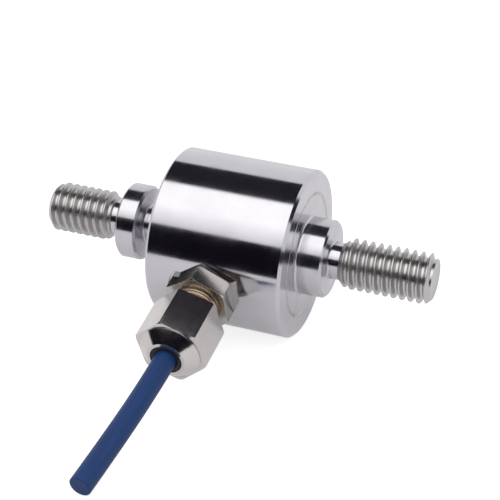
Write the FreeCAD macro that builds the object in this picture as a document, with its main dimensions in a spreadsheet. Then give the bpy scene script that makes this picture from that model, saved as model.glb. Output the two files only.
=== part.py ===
import FreeCAD, Part
import math
import os
import re

import Sketcher
from FreeCAD import Placement, Rotation, Vector

# Miniature tension and compression load cell, millimetres, +Z up.
# One turned load element runs right through a short polished housing and ends in an M6 stud
# on each side. A cable gland is screwed into the housing's wall.
# The cell lies as it rests on a table: on its housing and on the tip of its short cable.
# The load axis is along +X. The gland looks towards -Y and dips towards the table.

SIZES = [
    # Housing: a thick polished ring, welded to the element's two end discs.
    ("body_dia", 20.0),
    ("body_len", 16.4),
    ("body_edge", 0.35),
    ("wall_thick", 2.7),
    ("weld_groove", 0.15),
    # Fixed side: a boss, a relief neck and the stud, counted from one to the next.
    ("boss_dia", 9.2),
    ("boss_len", 3.1),
    ("boss_edge", 0.3),
    ("stud_dia", 6.0),
    ("stud_edge", 0.55),
    ("relief_dia", 4.4),
    ("right_relief_len", 2.1),
    ("right_stud_len", 12.3),
    # Live side: a slim neck, a collar and the stud.
    ("neck_dia", 4.4),
    ("neck_len", 3.65),
    ("collar_dia", 9.1),
    ("collar_len", 2.7),
    ("collar_edge", 0.3),
    ("left_relief_len", 2.3),
    ("left_stud_len", 9.65),
    ("root_flare", 0.3),
    # Inside: a thin diaphragm with a welding rim, two hubs, the square gauge column, a thick disc.
    ("web_thick", 0.6),
    ("rim_len", 1.7),
    ("rim_wall", 1.1),
    ("hub_dia", 6.2),
    ("hub_len", 1.4),
    ("column_side", 4.0),
    ("flange_thick", 2.0),
    # Strain gauges on the column, and the board that collects their wires.
    ("gauge_len", 4.2),
    ("gauge_width", 2.6),
    ("gauge_thick", 0.12),
    ("board_edge", 0.5),
    ("board_thick", 0.8),
    ("board_gap", 0.05),
    ("chip_len", 2.0),
    ("chip_width", 1.25),
    ("chip_thick", 0.6),
    ("chip_out", 2.2),
    ("solder_dia", 0.8),
    ("solder_tall", 0.25),
    ("wire_dia", 0.16),
    ("joint_clear", 0.05),
    # Cable gland, sizes along its own axis counted outwards from the load axis.
    ("gland_place", -0.95),
    ("seat_cut", 0.3),
    ("seat_dia", 8.6),
    ("shank_dia", 5.0),
    ("base_hex", 7.0),
    ("base_hex_turn", 34.0),
    ("base_hex_len", 2.3),
    ("nut_gap", 2.0),
    ("nut_hex", 7.4),
    ("nut_hex_turn", 43.0),
    ("nut_hex_len", 5.8),
    ("hex_bevel", 0.2),
    ("nose_step", 0.12),
    ("nose_dia", 7.1),
    ("nose_len", 1.18),
    ("nose_round", 6.0),
    ("tip_dia", 4.5),
    ("nut_bore", 3.76),
    ("gland_thread", 5.8),
    ("nipple_len", 5.0),
    ("washer_thick", 0.6),
    ("washer_gap", 0.1),
    ("seal_dia", 4.5),
    ("seal_seat", 2.4),
    ("seal_inset", 0.3),
    # Cable: jacket, screen and four cores.
    ("cable_dia", 2.5),
    ("jacket_wall", 0.35),
    ("shield_wall", 0.1),
    ("core_dia", 0.52),
    ("core_pitch", 0.58),
    ("copper_dia", 0.22),
    ("core_bend", 1.5),
    ("core_strip", 0.5),
    ("near_core_back", 1.6),
    ("far_core_back", 2.8),
    ("cable_clear", 0.05),
    ("end_seal", 0.5),
    # Rest: the gland dips until the end of the cable touches the table.
    ("dip", 12.5),
]

# Cable route from inside the gland to its cut end: distance from the gland's seat, sway along
# the load axis.
CABLE_ROUTE = [(-0.1, 0.0), (6.3, 0.0), (13.5, -0.04), (22.2, -0.48), (30.7, -1.30)]

# Cores in the cable: name, side along the load axis, side across it, and the size that says
# how far behind the gland's inner end the core turns towards the board.
CORES = [
    ("core_red", 1, 1, "near_core_back"),
    ("core_black", 1, -1, "near_core_back"),
    ("core_green", -1, 1, "far_core_back"),
    ("core_white", -1, -1, "far_core_back"),
]
CORE_PAD_SPREAD = 1.3

# Gauge wires: turn about the load axis, place of the pad beyond the hub and to its side.
GAUGE_PADS = [(0, 0.8, 0.5), (90, 0.65, 0.45), (180, 0.8, 0.5), (270, 0.0, 3.7)]
WIRE_SPREAD = 0.5

# Chip resistors on the board: name and turn about the load axis.
CHIPS = [("balance_resistor", 35), ("span_resistor_1", -14), ("span_resistor_2", 145)]

FACE = "body_len / 2"
BORE = "(body_dia / 2 - wall_thick)"
LEFT_SHOULDER = "(body_len / 2 + neck_len)"
LEFT_COLLAR = "(body_len / 2 + neck_len + collar_len)"
LEFT_TIP = "(body_len / 2 + neck_len + collar_len + left_stud_len)"
RIGHT_SHOULDER = "(body_len / 2 + boss_len)"
RIGHT_TIP = "(body_len / 2 + boss_len + right_stud_len)"
BOARD_BACK = "(body_len / 2 - flange_thick)"
SEAT = "(body_dia / 2 - seat_cut)"
HEX_FRONT = "(body_dia / 2 - seat_cut + base_hex_len)"
NUT_BACK = "(%s + nut_gap)" % HEX_FRONT
NUT_FRONT = "(%s + nut_hex_len)" % NUT_BACK
TIP = "(%s + nose_step + nose_len)" % NUT_FRONT
NIPPLE_END = "(%s + nipple_len)" % HEX_FRONT
WASHER_BACK = "(%s + washer_gap)" % NIPPLE_END
WASHER_FRONT = "(%s + washer_thick)" % WASHER_BACK
SHIFT_X = "(neck_len + collar_len + left_stud_len - boss_len - right_stud_len) / 2"
SHIFT_Y = "(%s * cos(dip) + tip_dia / 2 * sin(dip) - body_dia / 2) / 2" % TIP

doc = FreeCAD.newDocument("load_cell")
sheet = doc.addObject("Spreadsheet::Sheet", "sizes")
for row, (alias, number) in enumerate(SIZES, start=1):
    sheet.set("A%d" % row, alias)
    sheet.set("B%d" % row, str(number))
    sheet.setAlias("B%d" % row, alias)
doc.recompute()
ALIASES = [alias for alias, number in SIZES]


def cell(text):
    """Turn a size worked out in the sheet's own words into an expression."""
    return re.sub(r"[a-z]\w*", lambda word: bound(word.group(0)), text)


def bound(word):
    return "sizes." + word if word in ALIASES else word


def size(alias):
    return float(sheet.get(alias))


def seat(piece, x="0", y="0", z="0", turn="0"):
    """Place a piece whose own frame is the load axis, turned about that axis."""
    angle = "(dip + %s)" % turn
    piece.Placement = Placement(Vector(0, 0, 0), Rotation(Vector(1, 0, 0), 45))
    across = "%s + (%s) * cos(%s) - (%s) * sin(%s)" % (SHIFT_Y, y, angle, z, angle)
    height = "body_dia / 2 + (%s) * sin(%s) + (%s) * cos(%s)" % (y, angle, z, angle)
    piece.setExpression("Placement.Base.x", cell("%s + %s" % (SHIFT_X, x)))
    piece.setExpression("Placement.Base.y", cell(across))
    piece.setExpression("Placement.Base.z", cell(height))
    piece.setExpression("Placement.Rotation.Angle", cell(angle))


def seat_on_gland(piece):
    """Place a piece whose own +Z runs outwards along the gland."""
    seat(piece, x="gland_place", turn="90")


def new_body(label):
    body = doc.addObject("PartDesign::Body", label)
    body.Label = label
    return body


def sketch_on(body, role, name, offset=None):
    sketch = body.newObject("Sketcher::SketchObject", name)
    plane = [item for item in body.Origin.OriginFeatures if item.Role == role][0]
    sketch.AttachmentSupport = [(plane, "")]
    sketch.MapMode = "FlatFace"
    if offset:
        sketch.setExpression("AttachmentOffset.Base.z", cell(offset))
    return sketch


def bind_distance(sketch, edge, point, spot):
    for kind, text in zip(("DistanceX", "DistanceY"), spot):
        rule = sketch.addConstraint(Sketcher.Constraint(kind, -1, 1, edge, point, 1.0))
        sketch.setExpression("Constraints[%d]" % rule, cell(text))


def outline(sketch, spots):
    """Draw a closed outline whose corners are bound to the sheet.

    A corner is (x, y). One with a third value is reached by an arc of that radius, which
    bulges outwards where the outline runs anticlockwise.
    """
    first = sketch.GeometryCount
    count = len(spots)
    for k in range(count):
        start = Vector(math.cos(first + k), math.sin(first + k), 0)
        end = Vector(math.cos(first + k + 1), math.sin(first + k + 1), 0)
        sketch.addGeometry(Part.LineSegment(start, end), False)
    for k in range(count):
        ahead = first + (k + 1) % count
        sketch.addConstraint(Sketcher.Constraint("Coincident", first + k, 2, ahead, 1))
        bind_distance(sketch, first + k, 1, spots[k][:2])
    for k in range(count):
        if len(spots[(k + 1) % count]) == 3:
            bulge(sketch, first + k, spots[(k + 1) % count][2])


def bulge(sketch, side, radius):
    """Put an arc over one side of an outline and keep the side as its chord."""
    doc.recompute()
    start = sketch.Geometry[side].StartPoint
    end = sketch.Geometry[side].EndPoint
    chord = end - start
    outwards = Vector(chord.y, -chord.x, 0)
    middle = (start + end) * 0.5 + outwards * 0.1
    sketch.toggleConstruction(side)
    arc = sketch.addGeometry(Part.Arc(start, middle, end), False)
    sketch.addConstraint(Sketcher.Constraint("Coincident", arc, 1, side, 1))
    sketch.addConstraint(Sketcher.Constraint("Coincident", arc, 2, side, 2))
    rule = sketch.addConstraint(Sketcher.Constraint("Radius", arc, chord.Length))
    sketch.setExpression("Constraints[%d]" % rule, cell(radius))


def round_hole(sketch, diameter, x="0", y="0"):
    """Draw a circle whose size and place are bound to the sheet."""
    edge = sketch.addGeometry(Part.Circle(Vector(0, 0, 0), Vector(0, 0, 1), 1.0), False)
    bind_distance(sketch, edge, 3, (x, y))
    rule = sketch.addConstraint(Sketcher.Constraint("Diameter", edge, 2.0))
    sketch.setExpression("Constraints[%d]" % rule, cell(diameter))


def turned(body, name, role, axis, spots, kind="PartDesign::Revolution"):
    """Turn a bound outline about one axis of its sketch, as material or as a cut."""
    sketch = sketch_on(body, role, name + "_outline")
    outline(sketch, spots)
    feature = body.newObject(kind, name)
    feature.Profile = sketch
    feature.ReferenceAxis = (sketch, [axis])
    feature.Angle = 360
    doc.recompute()
    return feature


def hexagon(across, turn):
    """Six corners of a hexagon, from its size across the flats and its turn."""
    spots = []
    for k in range(6):
        angle = "(%s + %d)" % (turn, 60 * k)
        reach = "%s / 2 / cos(30)" % across
        spots.append(("%s * cos(%s)" % (reach, angle), "%s * sin(%s)" % (reach, angle)))
    return spots


def bevel_hexagon(body, name, across, plane, outwards):
    """Turn away the corners at one end of a hexagon, as on a real nut."""
    rise = "* tan(30)" + (" * -1" if outwards else "")
    near = "(%s / 2 / cos(30) - hex_bevel)" % across
    far = "(%s / 2 / cos(30) + hex_bevel)" % across
    inner = "(%s)" % plane
    clear = "%s %s hex_bevel" % (inner, "+" if outwards else "-")
    slope = "%s + (%s - %s) %s" % (inner, far, near, rise)
    spots = [(near, inner), (far, slope), (far, clear), (near, clear)]
    turned(body, name, "XZ_Plane", "V_Axis", spots, "PartDesign::Groove")


def load_element():
    """Turned bar: stud, collar, neck, diaphragm, gauge column, end disc, boss and stud."""
    body = new_body("load_element")
    column = "column_side * 0.68"
    run = "(stud_dia - relief_dia) / 2"
    left_neck_end = "-%s - left_relief_len" % LEFT_COLLAR
    right_neck_end = "%s + right_relief_len" % RIGHT_SHOULDER
    left_hub = "-%s + web_thick + hub_len" % FACE
    right_hub = "%s - hub_len" % BOARD_BACK
    spots = [
        ("-%s" % LEFT_TIP, "0"),
        ("%s" % RIGHT_TIP, "0"),
        ("%s" % RIGHT_TIP, "stud_dia / 2 - stud_edge"),
        ("%s - stud_edge" % RIGHT_TIP, "stud_dia / 2"),
        (right_neck_end, "stud_dia / 2"),
        ("%s - %s" % (right_neck_end, run), "relief_dia / 2"),
        ("%s + root_flare" % RIGHT_SHOULDER, "relief_dia / 2"),
        (RIGHT_SHOULDER, "relief_dia / 2 + root_flare"),
        (RIGHT_SHOULDER, "boss_dia / 2 - boss_edge"),
        ("%s - boss_edge" % RIGHT_SHOULDER, "boss_dia / 2"),
        ("%s + root_flare" % FACE, "boss_dia / 2"),
        (FACE, "boss_dia / 2 + root_flare"),
        (FACE, "%s - weld_groove" % BORE),
        ("%s - weld_groove" % FACE, BORE),
        (BOARD_BACK, BORE),
        (BOARD_BACK, "hub_dia / 2"),
        (right_hub, "hub_dia / 2"),
        (right_hub, column),
        (left_hub, column),
        (left_hub, "hub_dia / 2"),
        ("-%s + web_thick" % FACE, "hub_dia / 2"),
        ("-%s + web_thick" % FACE, "%s - rim_wall" % BORE),
        ("-%s + rim_len" % FACE, "%s - rim_wall" % BORE),
        ("-%s + rim_len" % FACE, BORE),
        ("-%s + weld_groove" % FACE, BORE),
        ("-%s" % FACE, "%s - weld_groove" % BORE),
        ("-%s" % FACE, "neck_dia / 2 + root_flare"),
        ("-%s - root_flare" % FACE, "neck_dia / 2"),
        ("-%s + root_flare" % LEFT_SHOULDER, "neck_dia / 2"),
        ("-%s" % LEFT_SHOULDER, "neck_dia / 2 + root_flare"),
        ("-%s" % LEFT_SHOULDER, "collar_dia / 2 - collar_edge"),
        ("-%s - collar_edge" % LEFT_SHOULDER, "collar_dia / 2"),
        ("-%s + collar_edge" % LEFT_COLLAR, "collar_dia / 2"),
        ("-%s" % LEFT_COLLAR, "collar_dia / 2 - collar_edge"),
        ("-%s" % LEFT_COLLAR, "relief_dia / 2 + root_flare"),
        ("-%s - root_flare" % LEFT_COLLAR, "relief_dia / 2"),
        ("%s + %s" % (left_neck_end, run), "relief_dia / 2"),
        (left_neck_end, "stud_dia / 2"),
        ("-%s + stud_edge" % LEFT_TIP, "stud_dia / 2"),
        ("-%s" % LEFT_TIP, "stud_dia / 2 - stud_edge"),
    ]
    turned(body, "turned_bar", "XY_Plane", "H_Axis", spots)
    for role in ("XY_Plane", "XZ_Plane"):
        sketch = sketch_on(body, role, "flats_" + role[:2])
        for side in ("", "-"):
            near = "%scolumn_side / 2" % side
            far = "%s(column_side / 2 + hub_dia / 2)" % side
            corners = [(left_hub, near), (right_hub, near), (right_hub, far), (left_hub, far)]
            outline(sketch, corners)
        flats = body.newObject("PartDesign::Pocket", "milled_" + role[:2])
        flats.Profile = sketch
        flats.Midplane = True
        flats.setExpression("Length", cell("hub_dia * 2"))
        doc.recompute()
    seat(body)
    return body


def housing_sleeve():
    """Thick ring with polished outside, spot face and tapped hole for the gland."""
    body = new_body("housing_sleeve")
    spots = [
        ("-%s" % FACE, "%s + weld_groove" % BORE),
        ("-%s + weld_groove" % FACE, BORE),
        ("%s - weld_groove" % FACE, BORE),
        (FACE, "%s + weld_groove" % BORE),
        (FACE, "body_dia / 2 - body_edge"),
        ("%s - body_edge" % FACE, "body_dia / 2"),
        ("-%s + body_edge" % FACE, "body_dia / 2"),
        ("-%s" % FACE, "body_dia / 2 - body_edge"),
    ]
    turned(body, "ring", "XY_Plane", "H_Axis", spots)
    for name, diameter, offset in (("spot_face", "seat_dia", SEAT),
                                   ("gland_hole", "shank_dia", "0")):
        before = body.Shape.Volume
        sketch = sketch_on(body, "XZ_Plane", name + "_circle", offset)
        round_hole(sketch, diameter, x="gland_place")
        hole = body.newObject("PartDesign::Pocket", name)
        hole.Profile = sketch
        hole.Reversed = True
        hole.setExpression("Length", cell("body_dia"))
        doc.recompute()
        if body.Shape.Volume > before - 1:
            raise RuntimeError("the %s cuts nothing" % name)
    seat(body)
    return body


def gland_body():
    """Threaded shank, hexagon and nipple with the seal's seat."""
    body = new_body("gland_body")
    seal_back = "(%s - seal_seat)" % NIPPLE_END
    cable_bore = "(cable_dia / 2 + cable_clear)"
    spots = [
        (cable_bore, BORE),
        ("shank_dia / 2", BORE),
        ("shank_dia / 2", SEAT),
        ("gland_thread / 2", SEAT),
        ("gland_thread / 2", "%s - washer_gap * 2" % NIPPLE_END),
        ("gland_thread / 2 - washer_gap * 2", NIPPLE_END),
        ("seal_dia / 2", NIPPLE_END),
        ("seal_dia / 2", seal_back),
        (cable_bore, seal_back),
    ]
    turned(body, "barrel", "XZ_Plane", "V_Axis", spots)
    sketch = sketch_on(body, "XY_Plane", "hexagon", SEAT)
    outline(sketch, hexagon("base_hex", "base_hex_turn"))
    round_hole(sketch, "shank_dia")
    pad = body.newObject("PartDesign::Pad", "wrench_flats")
    pad.Profile = sketch
    pad.setExpression("Length", cell("base_hex_len"))
    doc.recompute()
    bevel_hexagon(body, "front_bevel", "base_hex", HEX_FRONT, True)
    bevel_hexagon(body, "back_bevel", "base_hex", SEAT, False)
    seat_on_gland(body)
    return body


def cap_nut():
    """Hexagonal compression nut with a domed nose round the cable."""
    body = new_body("cap_nut")
    inner = "gland_thread / 2"
    spots = [
        (inner, NUT_BACK),
        ("nose_dia / 2", NUT_BACK),
        ("nose_dia / 2", "%s + nose_step" % NUT_FRONT),
        ("tip_dia / 2", TIP, "nose_round"),
        ("nut_bore / 2", TIP),
        ("nut_bore / 2", WASHER_FRONT),
        (inner, WASHER_FRONT),
    ]
    turned(body, "barrel", "XZ_Plane", "V_Axis", spots)
    sketch = sketch_on(body, "XY_Plane", "hexagon", NUT_BACK)
    outline(sketch, hexagon("nut_hex", "nut_hex_turn"))
    round_hole(sketch, "nose_dia")
    pad = body.newObject("PartDesign::Pad", "wrench_flats")
    pad.Profile = sketch
    pad.setExpression("Length", cell("nut_hex_len"))
    doc.recompute()
    bevel_hexagon(body, "front_bevel", "nut_hex", NUT_FRONT, True)
    bevel_hexagon(body, "back_bevel", "nut_hex", NUT_BACK, False)
    seat_on_gland(body)
    return body


def clamp_ring():
    """Slip ring between the nut's shoulder and the rubber seal."""
    body = new_body("clamp_ring")
    spots = [
        ("nut_bore / 2", WASHER_BACK),
        ("gland_thread / 2 - cable_clear", WASHER_BACK),
        ("gland_thread / 2 - cable_clear", WASHER_FRONT),
        ("nut_bore / 2", WASHER_FRONT),
    ]
    turned(body, "ring", "XZ_Plane", "V_Axis", spots)
    seat_on_gland(body)
    return body


def cable_seal():
    """Black rubber bush squeezed round the cable, with a nose that reaches the nut's mouth."""
    body = new_body("cable_seal")
    cable_bore = "(cable_dia / 2 + cable_clear)"
    spots = [
        (cable_bore, "%s - seal_seat" % NIPPLE_END),
        ("seal_dia / 2", "%s - seal_seat" % NIPPLE_END),
        ("seal_dia / 2", WASHER_BACK),
        ("nut_bore / 2", WASHER_BACK),
        ("nut_bore / 2", "%s - seal_inset" % TIP),
        (cable_bore, "%s - seal_inset" % TIP),
    ]
    turned(body, "bush", "XZ_Plane", "V_Axis", spots)
    seat_on_gland(body)
    return body


def strain_gauges():
    """Four foil gauges, one on each face of the column."""
    pieces = []
    for number in range(4):
        gauge = doc.addObject("Part::Box", "strain_gauge_%d" % (number + 1))
        gauge.Label = "strain_gauge_%d" % (number + 1)
        gauge.setExpression("Length", cell("gauge_len"))
        gauge.setExpression("Width", cell("gauge_width"))
        gauge.setExpression("Height", cell("gauge_thick"))
        middle = "(web_thick - flange_thick) / 2"
        seat(gauge, "%s - gauge_len / 2" % middle, "-gauge_width / 2", "column_side / 2",
             str(90 * number))
        pieces.append(gauge)
    return pieces


def terminal_board():
    """Horseshoe board that slides over the hub and is bonded to the thick disc."""
    disc = doc.addObject("Part::Cylinder", "board_disc")
    disc.setExpression("Radius", cell("%s - board_edge" % BORE))
    disc.setExpression("Height", cell("board_thick"))
    slot = doc.addObject("Part::Box", "board_slot")
    slot.setExpression("Length", cell("board_thick"))
    slot.setExpression("Width", cell(BORE))
    slot.setExpression("Height", cell("hub_dia + 2 * board_gap"))
    hub = doc.addObject("Part::Cylinder", "board_hub")
    hub.setExpression("Radius", cell("hub_dia / 2 + board_gap"))
    hub.setExpression("Height", cell("board_thick"))
    for piece in (disc, hub):
        piece.Placement = Placement(Vector(0, 0, 0), Rotation(Vector(0, 1, 0), 90))
        piece.setExpression("Placement.Base.x", cell("%s - board_thick" % BOARD_BACK))
    slot.setExpression("Placement.Base.x", cell("%s - board_thick" % BOARD_BACK))
    slot.setExpression("Placement.Base.z", cell("-hub_dia / 2 - board_gap"))
    opening = doc.addObject("Part::Fuse", "board_opening")
    opening.Base = slot
    opening.Tool = hub
    board = doc.addObject("Part::Cut", "terminal_board")
    board.Label = "terminal_board"
    board.Base = disc
    board.Tool = opening
    seat(board)
    return board


def chip_resistors():
    """Chip resistors that trim the bridge, on the board's face."""
    pieces = []
    for name, turn in CHIPS:
        chip = doc.addObject("Part::Box", name)
        chip.Label = name
        chip.setExpression("Length", cell("chip_thick"))
        chip.setExpression("Width", cell("chip_len"))
        chip.setExpression("Height", cell("chip_width"))
        seat(chip, "%s - board_thick - chip_thick" % BOARD_BACK, "-chip_len / 2",
             "hub_dia / 2 + chip_out - chip_width / 2", str(turn))
        pieces.append(chip)
    return pieces


def laid_in_place(label, shape):
    """A piece whose shape is worked out here, in the load axis frame."""
    piece = doc.addObject("Part::Feature", label)
    piece.Label = label
    piece.Shape = shape
    seat(piece)
    return piece


def gland_mouth():
    """Distance from the load axis to the gland's inner end, flush with the bore."""
    return size("body_dia") / 2 - size("wall_thick")


def gland_seat():
    return size("body_dia") / 2 - size("seat_cut")


def board_face():
    return size("body_len") / 2 - size("flange_thick") - size("board_thick")


def turned_about_axis(point, angle):
    return Rotation(Vector(1, 0, 0), angle).multVec(point)


def gauge_pads():
    """Places on the board where the gauge wires end, two for each gauge."""
    pads = []
    hub = size("hub_dia") / 2
    for turn, out, side in GAUGE_PADS:
        for sign in (-1, 1):
            pads.append((turn, sign, Vector(board_face(), sign * side, hub + out)))
    return pads


def core_pads():
    """Places on the board where the four cores end."""
    return [Vector(board_face(), size(back) - gland_mouth(), across * CORE_PAD_SPREAD)
            for name, along, across, back in CORES]


def facet_ring(sides, diameter, centre, heading):
    """A closed polygon with its corners on a circle, square to a heading."""
    turn = Rotation(Vector(0, 0, 1), heading)
    corners = []
    for k in range(sides + 1):
        angle = 2 * math.pi * k / sides
        spot = Vector(math.cos(angle), math.sin(angle), 0) * (diameter / 2)
        corners.append(centre + turn.multVec(spot))
    return Part.makePolygon(corners)


def solder_joints():
    """Low solder joints on the board, as one group."""
    joints = []
    spots = [turned_about_axis(spot, turn) for turn, sign, spot in gauge_pads()] + core_pads()
    rise = Vector(-size("solder_tall"), 0, 0)
    for spot in spots:
        foot = facet_ring(8, size("solder_dia"), spot, rise)
        top = facet_ring(8, size("solder_dia") / 2, spot + rise, rise)
        joints.append(Part.makeLoft([foot, top], True, True))
    return laid_in_place("solder_joints", Part.makeCompound(joints))


def gauge_wires():
    """Eight short jumper wires from the gauges' tabs to the board, as one group."""
    wires = []
    middle = (size("web_thick") - size("flange_thick")) / 2
    lift = size("column_side") / 2 + size("gauge_thick") + size("wire_dia") / 2
    tab = middle + size("gauge_len") / 2 - size("wire_dia") * 2
    for turn, sign, pad in gauge_pads():
        start = Vector(tab, sign * WIRE_SPREAD, lift)
        end = pad - Vector(size("solder_tall") + size("joint_clear"), 0, 0)
        reach = end - start
        wire = Part.Face(facet_ring(6, size("wire_dia"), start, reach)).extrude(reach)
        wire.rotate(Vector(0, 0, 0), Vector(1, 0, 0), turn)
        wires.append(wire)
    return laid_in_place("gauge_wires", Part.makeCompound(wires))


def smooth_path(points, widest=None):
    """Straight runs joined by tangent arcs, each as large as its two runs allow."""
    edges = []
    last = points[0]
    for before, corner, after in zip(points, points[1:], points[2:]):
        come = (corner - before)
        leave = (after - corner)
        half = come.getAngle(leave) / 2
        trim = 0.45 * min(come.Length, leave.Length)
        if widest:
            trim = min(trim, widest * math.tan(half))
        come.normalize()
        leave.normalize()
        start = corner - come * trim
        end = corner + leave * trim
        radius = trim / math.tan(half)
        inwards = leave - come
        inwards.normalize()
        middle = corner + inwards * (radius / math.cos(half) - radius)
        edges.append(Part.LineSegment(last, start).toShape())
        edges.append(Part.Arc(start, middle, end).toShape())
        print("bend radius %.1f mm" % radius)
        last = end
    edges.append(Part.LineSegment(last, points[-1]).toShape())
    return Part.Wire(edges)


def tube(path, diameter, sides=0):
    """A bar along a path, round or with a number of flat sides."""
    start = path.Edges[0].Vertexes[0].Point
    heading = path.Edges[0].tangentAt(path.Edges[0].FirstParameter)
    if sides:
        ring = facet_ring(sides, diameter, start, heading)
    else:
        ring = Part.Wire([Part.makeCircle(diameter / 2, start, heading)])
    bar = path.makePipeShell([ring], True, False)
    expected = Part.Face(ring).Area * path.Length
    if abs(bar.Volume - expected) > 0.01 * expected:
        raise RuntimeError("a tube has the wrong volume")
    return bar


def route_points(first, along=0.0, across=0.0, back=0.0):
    """Points of the cable's route, from one of them on, moved sideways for a core.

    What lies inside the jacket stops a little back from its sealed end.
    """
    start, place = gland_seat(), size("gland_place")
    points = [Vector(place + sway + along, -start - reach, across)
              for reach, sway in CABLE_ROUTE[first:]]
    run = points[-1] - points[-2]
    run.normalize()
    points[-1] = points[-1] - run * back
    return points


def core_path(along, across, pad, strip):
    """From the board round one bend into the gland, and on beside the other cores.

    The insulation starts a short strip after the copper's soldered end.
    """
    half = size("core_pitch") / 2
    corner = Vector(size("gland_place") + along * half, pad.y, across * half)
    joint = pad - Vector(size("solder_tall") + size("joint_clear"), 0, 0)
    come = corner - joint
    come.normalize()
    start = joint + come * strip
    leave = Vector(0, -1, 0)
    turn = come.getAngle(leave)
    trim = size("core_bend") * math.tan(turn / 2)
    begin = corner - come * trim
    finish = corner + leave * trim
    inwards = leave - come
    inwards.normalize()
    sag = size("core_bend") / math.cos(turn / 2) - size("core_bend")
    bend = Part.Arc(begin, corner + inwards * sag, finish).toShape()
    lane = route_points(1, along * half, across * half, size("end_seal"))
    rest = smooth_path([finish] + lane)
    return Part.Wire([Part.LineSegment(start, begin).toShape(), bend] + rest.Edges)


def cable_pieces():
    """Jacket with a sealed end, braided screen, four insulated cores and their copper."""
    path = smooth_path(route_points(0))
    hollow = smooth_path(route_points(0, back=size("end_seal")))
    outside = size("cable_dia")
    inside = outside - 2 * size("jacket_wall")
    under_shield = inside - 2 * size("shield_wall")
    jacket = tube(path, outside).cut(tube(hollow, inside))
    shield = tube(hollow, inside).cut(tube(hollow, under_shield))
    pieces = [laid_in_place("cable_jacket", jacket), laid_in_place("cable_shield", shield)]
    copper = []
    for (name, along, across, back), pad in zip(CORES, core_pads()):
        strand = tube(core_path(along, across, pad, 0), size("copper_dia"), 6)
        copper.append(strand)
        lane = core_path(along, across, pad, size("core_strip"))
        pieces.append(laid_in_place(name, tube(lane, size("core_dia"), 10).cut(strand)))
    pieces.append(laid_in_place("copper_conductors", Part.makeCompound(copper)))
    return pieces


def potting_plug():
    """Resin that fills the gland's bore behind the jacket, with the cores cast in."""
    mouth = gland_mouth()
    end = gland_seat() + CABLE_ROUTE[0][0]
    radius = size("cable_dia") / 2 + size("cable_clear")
    base = Vector(size("gland_place"), -mouth, 0)
    plug = Part.makeCylinder(radius, end - mouth, base, Vector(0, -1, 0))
    half = size("core_pitch") / 2
    for name, along, across, back in CORES:
        spot = base + Vector(along * half, 1, across * half)
        plug = plug.cut(Part.makeCylinder(size("core_dia") / 2, end - mouth + 2, spot,
                                          Vector(0, -1, 0)))
    return laid_in_place("potting_plug", plug)


pieces = [load_element(), housing_sleeve()]
pieces += strain_gauges()
pieces += [terminal_board()]
pieces += chip_resistors()
pieces += [solder_joints(), gauge_wires()]
pieces += [gland_body(), cable_seal(), clamp_ring(), cap_nut(), potting_plug()]
pieces += cable_pieces()
doc.recompute()

for item in doc.Objects:
    if "Invalid" in item.State or "Error" in item.State:
        raise RuntimeError("%s did not build: %s" % (item.Label, item.State))
for piece in pieces:
    if piece.Shape.isNull() or not piece.Shape.isValid():
        raise RuntimeError("%s has no sound shape" % piece.Label)

os.makedirs("parts", exist_ok=True)
for piece in pieces:
    piece.Shape.exportStep("parts/%s.step" % piece.Label)
    print(piece.Label, len(piece.Shape.Solids), round(piece.Shape.Volume, 3))
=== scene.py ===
"""Miniature tension and compression load cell, dressed for a studio picture.

Lengths are metres. The load axis is X in the cell's own frame and the gland looks towards -Y;
the cell then lies on the floor with the gland dipped until the cable touches the ground.
"""

import math

import bmesh
import bpy
from bpy.props import FloatProperty, FloatVectorProperty, PointerProperty
from mathutils import Matrix, Vector


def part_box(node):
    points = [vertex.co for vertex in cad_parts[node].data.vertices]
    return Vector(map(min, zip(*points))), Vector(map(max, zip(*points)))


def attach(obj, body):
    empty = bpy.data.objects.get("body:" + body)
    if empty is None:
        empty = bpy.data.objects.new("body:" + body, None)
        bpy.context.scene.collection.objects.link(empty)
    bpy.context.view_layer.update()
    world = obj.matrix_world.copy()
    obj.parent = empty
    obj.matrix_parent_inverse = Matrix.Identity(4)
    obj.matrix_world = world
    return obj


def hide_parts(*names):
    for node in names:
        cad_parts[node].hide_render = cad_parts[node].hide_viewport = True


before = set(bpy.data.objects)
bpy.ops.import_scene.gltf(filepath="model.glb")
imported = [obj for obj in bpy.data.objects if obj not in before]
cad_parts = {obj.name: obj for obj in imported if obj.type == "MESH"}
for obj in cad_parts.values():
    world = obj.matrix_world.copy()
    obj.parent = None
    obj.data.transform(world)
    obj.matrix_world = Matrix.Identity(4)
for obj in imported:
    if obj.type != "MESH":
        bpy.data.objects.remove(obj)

bl_info = {
    "name": "Miniature load cell",
    "version": (1, 0, 0),
    "blender": (4, 5, 0),
    "location": "3D View > Sidebar > Load cell",
    "description": "Builds and dresses a miniature tension and compression load cell",
    "category": "Object",
}

MM = 0.001
DIP = math.radians(12.5)
GLAND_PLACE = -0.95 * MM
FLOOR = 0.0

# Load element and housing.
BODY_EDGE = 0.35 * MM
WELD = 0.07 * MM
EDGE = 0.3 * MM
ROOT = 0.3 * MM
RIM_LENGTH = 1.7 * MM
RIM_BORE = 12.4 * MM
WEB = 0.6 * MM
HUB_DIAMETER = 6.2 * MM
HUB_LENGTH = 1.4 * MM
COLUMN_WIDTH = 4.0 * MM
DISC_THICKNESS = 2.0 * MM
SEAT_CUT = 0.3 * MM
SEAT_DIAMETER = 8.6 * MM
BROKEN_EDGE = 0.045 * MM

# Threads: depth as a share of the pitch, sides round the axis, samples along a turn.
THREAD_DEPTH = 0.613
THREAD_SIDES = 128
THREAD_SAMPLES = 16

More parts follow.
